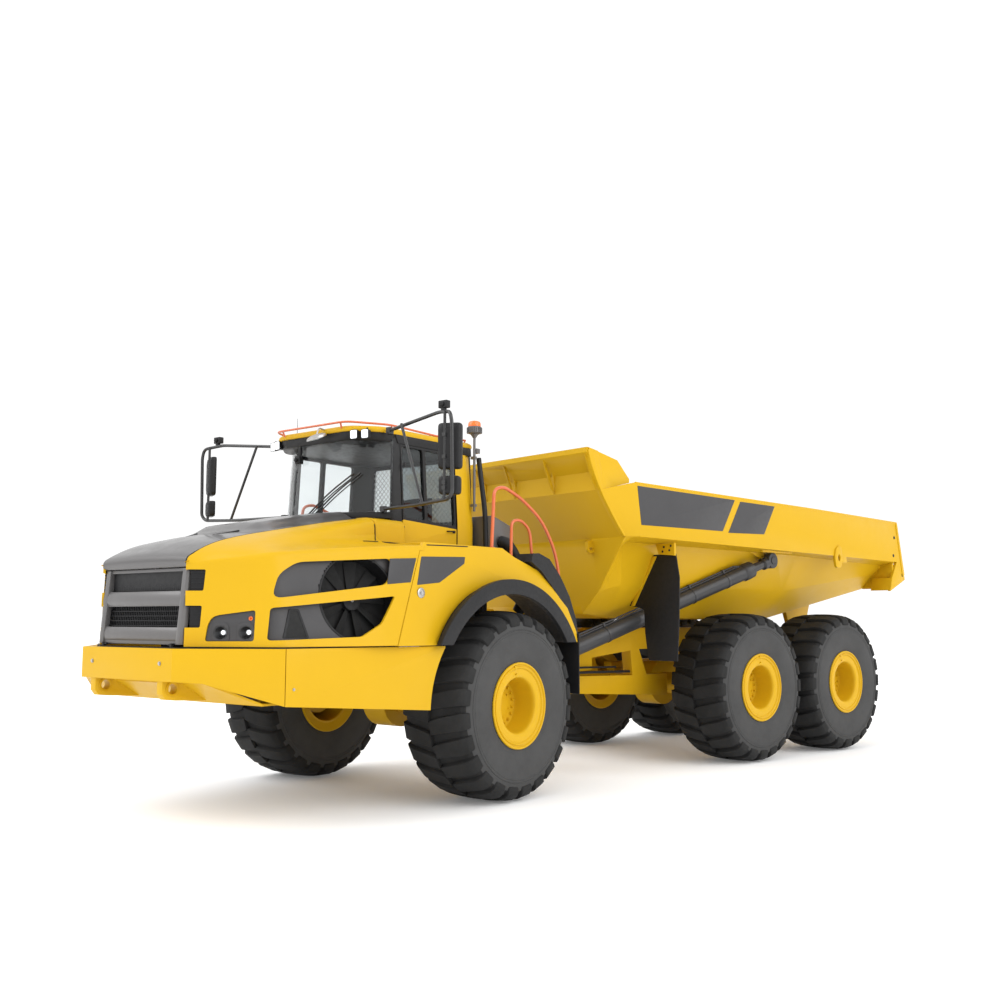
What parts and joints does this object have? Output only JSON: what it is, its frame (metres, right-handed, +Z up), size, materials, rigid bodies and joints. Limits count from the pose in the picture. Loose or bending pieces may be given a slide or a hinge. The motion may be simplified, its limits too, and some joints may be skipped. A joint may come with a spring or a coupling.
{
  "type": "articulated dump truck",
  "caption": "Articulated off-road dump truck: a tractor half with cab and hood, hinged to a trailing half with a tipping load body on two driven axles.",
  "frame": {"origin": "on the ground, at the middle of the footprint box", "axes": "+Z up, +Y towards the tail, along the trailing half; +X is the truck's left; the tractor half is turned 9.3 degrees about the hitch, nose to the left, as it parks"},
  "size_m": [3.9064, 11.351, 3.7798],
  "materials": {
    "yellow_paint": "gloss enamel",
    "orange_paint": "gloss enamel",
    "black_plastic": "matt",
    "black_rubber": "matt",
    "tyre": "matt",
    "dark_steel": "satin",
    "chrome_rod": "polished",
    "cast_metal": "rough",
    "tinted_glass": "polished",
    "seat_fabric": "woven",
    "amber_lens": "gloss",
    "lamp_lens": "gloss"
  },
  "bodies": {
    "load_chassis": {"rear_frame": "yellow_paint", "hitch_yoke": "yellow_paint", "bogie_beams": "yellow_paint", "rear_axles": "yellow_paint"},
    "tractor": {"front_frame": "yellow_paint", "engine_block": "cast_metal", "front_axle": "yellow_paint", "front_bumper": "yellow_paint", "side_skirts": "yellow_paint", "fenders": "yellow_paint", "wheel_arches": "black_rubber", "fan_cowls": "black_plastic", "cab_floor": "black_plastic", "cab_shell": "yellow_paint", "cab_roof": "yellow_paint", "cab_windows": "tinted_glass", "driver_seat": "seat_fabric", "steering_console": "black_plastic", "air_cleaner_box": "black_plastic", "rear_deck": "black_plastic", "mirrors": "black_plastic", "handrails": "orange_paint", "beacon": "amber_lens"},
    "door_body": {"cab_door": "yellow_paint", "door_glass": "tinted_glass"},
    "hood_body": {"hood": "yellow_paint", "grille": "black_plastic", "headlights": "lamp_lens"},
    "dump_body": {"bed_floor": "yellow_paint", "bed_side_left": "yellow_paint", "bed_side_right": "yellow_paint", "bed_headboard": "yellow_paint", "bed_flaps": "black_rubber"},
    "hoist_cylinder_left": {"hoist_barrel_left": "dark_steel"},
    "hoist_cylinder_right": {"hoist_barrel_right": "dark_steel"},
    "hoist_ram_left": {"hoist_rod_left": "chrome_rod"},
    "hoist_ram_right": {"hoist_rod_right": "chrome_rod"},
    "steering_cylinder_left": {"steering_barrel_left": "dark_steel"},
    "steering_cylinder_right": {"steering_barrel_right": "dark_steel"},
    "steering_ram_left": {"steering_rod_left": "chrome_rod"},
    "steering_ram_right": {"steering_rod_right": "chrome_rod"},
    "wheel_front_left": {"tyre_front_left": "tyre", "rim_front_left": "yellow_paint"},
    "wheel_front_right": {"tyre_front_right": "tyre", "rim_front_right": "yellow_paint"},
    "wheel_middle_left": {"tyre_middle_left": "tyre", "rim_middle_left": "yellow_paint"},
    "wheel_middle_right": {"tyre_middle_right": "tyre", "rim_middle_right": "yellow_paint"},
    "wheel_rear_left": {"tyre_rear_left": "tyre", "rim_rear_left": "yellow_paint"},
    "wheel_rear_right": {"tyre_rear_right": "tyre", "rim_rear_right": "yellow_paint"}
  },
  "joints": [
    {"name": "steer", "type": "hinge", "parent": "load_chassis", "child": "tractor", "pos_m": [-0.24319, -1.19354, 1.055], "axis": [0, 0, 1], "range_deg": [-54.3, 35.7]},
    {"name": "dump", "type": "hinge", "parent": "load_chassis", "child": "dump_body", "pos_m": [-0.24319, 4.50646, 1.475], "axis": [-1, 0, 0], "range_deg": [0, 70]},
    {"name": "hood_tilt", "type": "hinge", "parent": "tractor", "child": "hood_body", "pos_m": [0.45655, -5.46662, 1.5], "axis": [0.9869, 0.1616, 0], "range_deg": [0, 60]},
    {"name": "door_swing", "type": "hinge", "parent": "tractor", "child": "door_body", "pos_m": [0.8817, -3.02584, 2.925], "axis": [0, 0, -1], "range_deg": [0, 75]},
    {"name": "spin_front_left", "type": "hinge", "parent": "tractor", "child": "wheel_front_left", "pos_m": [1.26385, -2.24076, 0.9], "axis": [0.9869, 0.1616, 0], "continuous": true},
    {"name": "spin_front_right", "type": "hinge", "parent": "tractor", "child": "wheel_front_right", "pos_m": [-1.3375, -2.66675, 0.9], "axis": [0.9869, 0.1616, 0], "continuous": true},
    {"name": "spin_middle_left", "type": "hinge", "parent": "load_chassis", "child": "wheel_middle_left", "pos_m": [1.07481, 2.04746, 0.9], "axis": [1, 0, 0], "continuous": true},
    {"name": "spin_middle_right", "type": "hinge", "parent": "load_chassis", "child": "wheel_middle_right", "pos_m": [-1.56119, 2.04746, 0.9], "axis": [1, 0, 0], "continuous": true},
    {"name": "spin_rear_left", "type": "hinge", "parent": "load_chassis", "child": "wheel_rear_left", "pos_m": [1.07481, 3.98746, 0.9], "axis": [1, 0, 0], "continuous": true},
    {"name": "spin_rear_right", "type": "hinge", "parent": "load_chassis", "child": "wheel_rear_right", "pos_m": [-1.56119, 3.98746, 0.9], "axis": [1, 0, 0], "continuous": true},
    {"name": "hoist_pivot_left", "type": "hinge", "parent": "load_chassis", "child": "hoist_cylinder_left", "pos_m": [0.61281, -0.55354, 1.342], "axis": [0.5756, -0.3811, 0.7235], "range_deg": [0, 5.78]},
    {"name": "hoist_slide_left", "type": "slide", "parent": "hoist_cylinder_left", "child": "hoist_ram_left", "axis": [0.1905, 0.9229, 0.3346], "range_m": [0, 2.4635]},
    {"name": "hoist_pivot_right", "type": "hinge", "parent": "load_chassis", "child": "hoist_cylinder_right", "pos_m": [-1.09919, -0.55354, 1.342], "axis": [0.5756, 0.3811, -0.7235], "range_deg": [0, 5.78]},
    {"name": "hoist_slide_right", "type": "slide", "parent": "hoist_cylinder_right", "child": "hoist_ram_right", "axis": [-0.1905, 0.9229, 0.3346], "range_m": [0, 2.4635]},
    {"name": "steering_pivot_left", "type": "hinge", "parent": "tractor", "child": "steering_cylinder_left", "pos_m": [0.51053, -2.08343, 1.075], "axis": [0, 0, 1], "range_deg": [-10.28, 15.61]},
    {"name": "steering_slide_left", "type": "slide", "parent": "steering_cylinder_left", "child": "steering_ram_left", "axis": [-0.1959, 0.9806, 0], "range_m": [-0.3097, 0.4709]},
    {"name": "steering_pivot_right", "type": "hinge", "parent": "tractor", "child": "steering_cylinder_right", "pos_m": [-0.6737, -2.27736, 1.075], "axis": [0, 0, 1], "range_deg": [-10.22, 15.53]},
    {"name": "steering_slide_right", "type": "slide", "parent": "steering_cylinder_right", "child": "steering_ram_right", "axis": [-0.0316, 0.9995, 0], "range_m": [-0.4709, 0.3097]}
  ],
  "couplings": [
    {"joint": "hoist_pivot_left", "follows": "dump", "ratio": 0.081804},
    {"joint": "hoist_slide_left", "follows": "dump", "m_per_rad": 2.016},
    {"joint": "hoist_pivot_right", "follows": "dump", "ratio": 0.081804},
    {"joint": "hoist_slide_right", "follows": "dump", "m_per_rad": 2.016},
    {"joint": "steering_pivot_left", "follows": "steer", "ratio": -0.2865},
    {"joint": "steering_slide_left", "follows": "steer", "m_per_rad": -0.4963},
    {"joint": "steering_pivot_right", "follows": "steer", "ratio": -0.285},
    {"joint": "steering_slide_right", "follows": "steer", "m_per_rad": 0.4963}
  ]
}
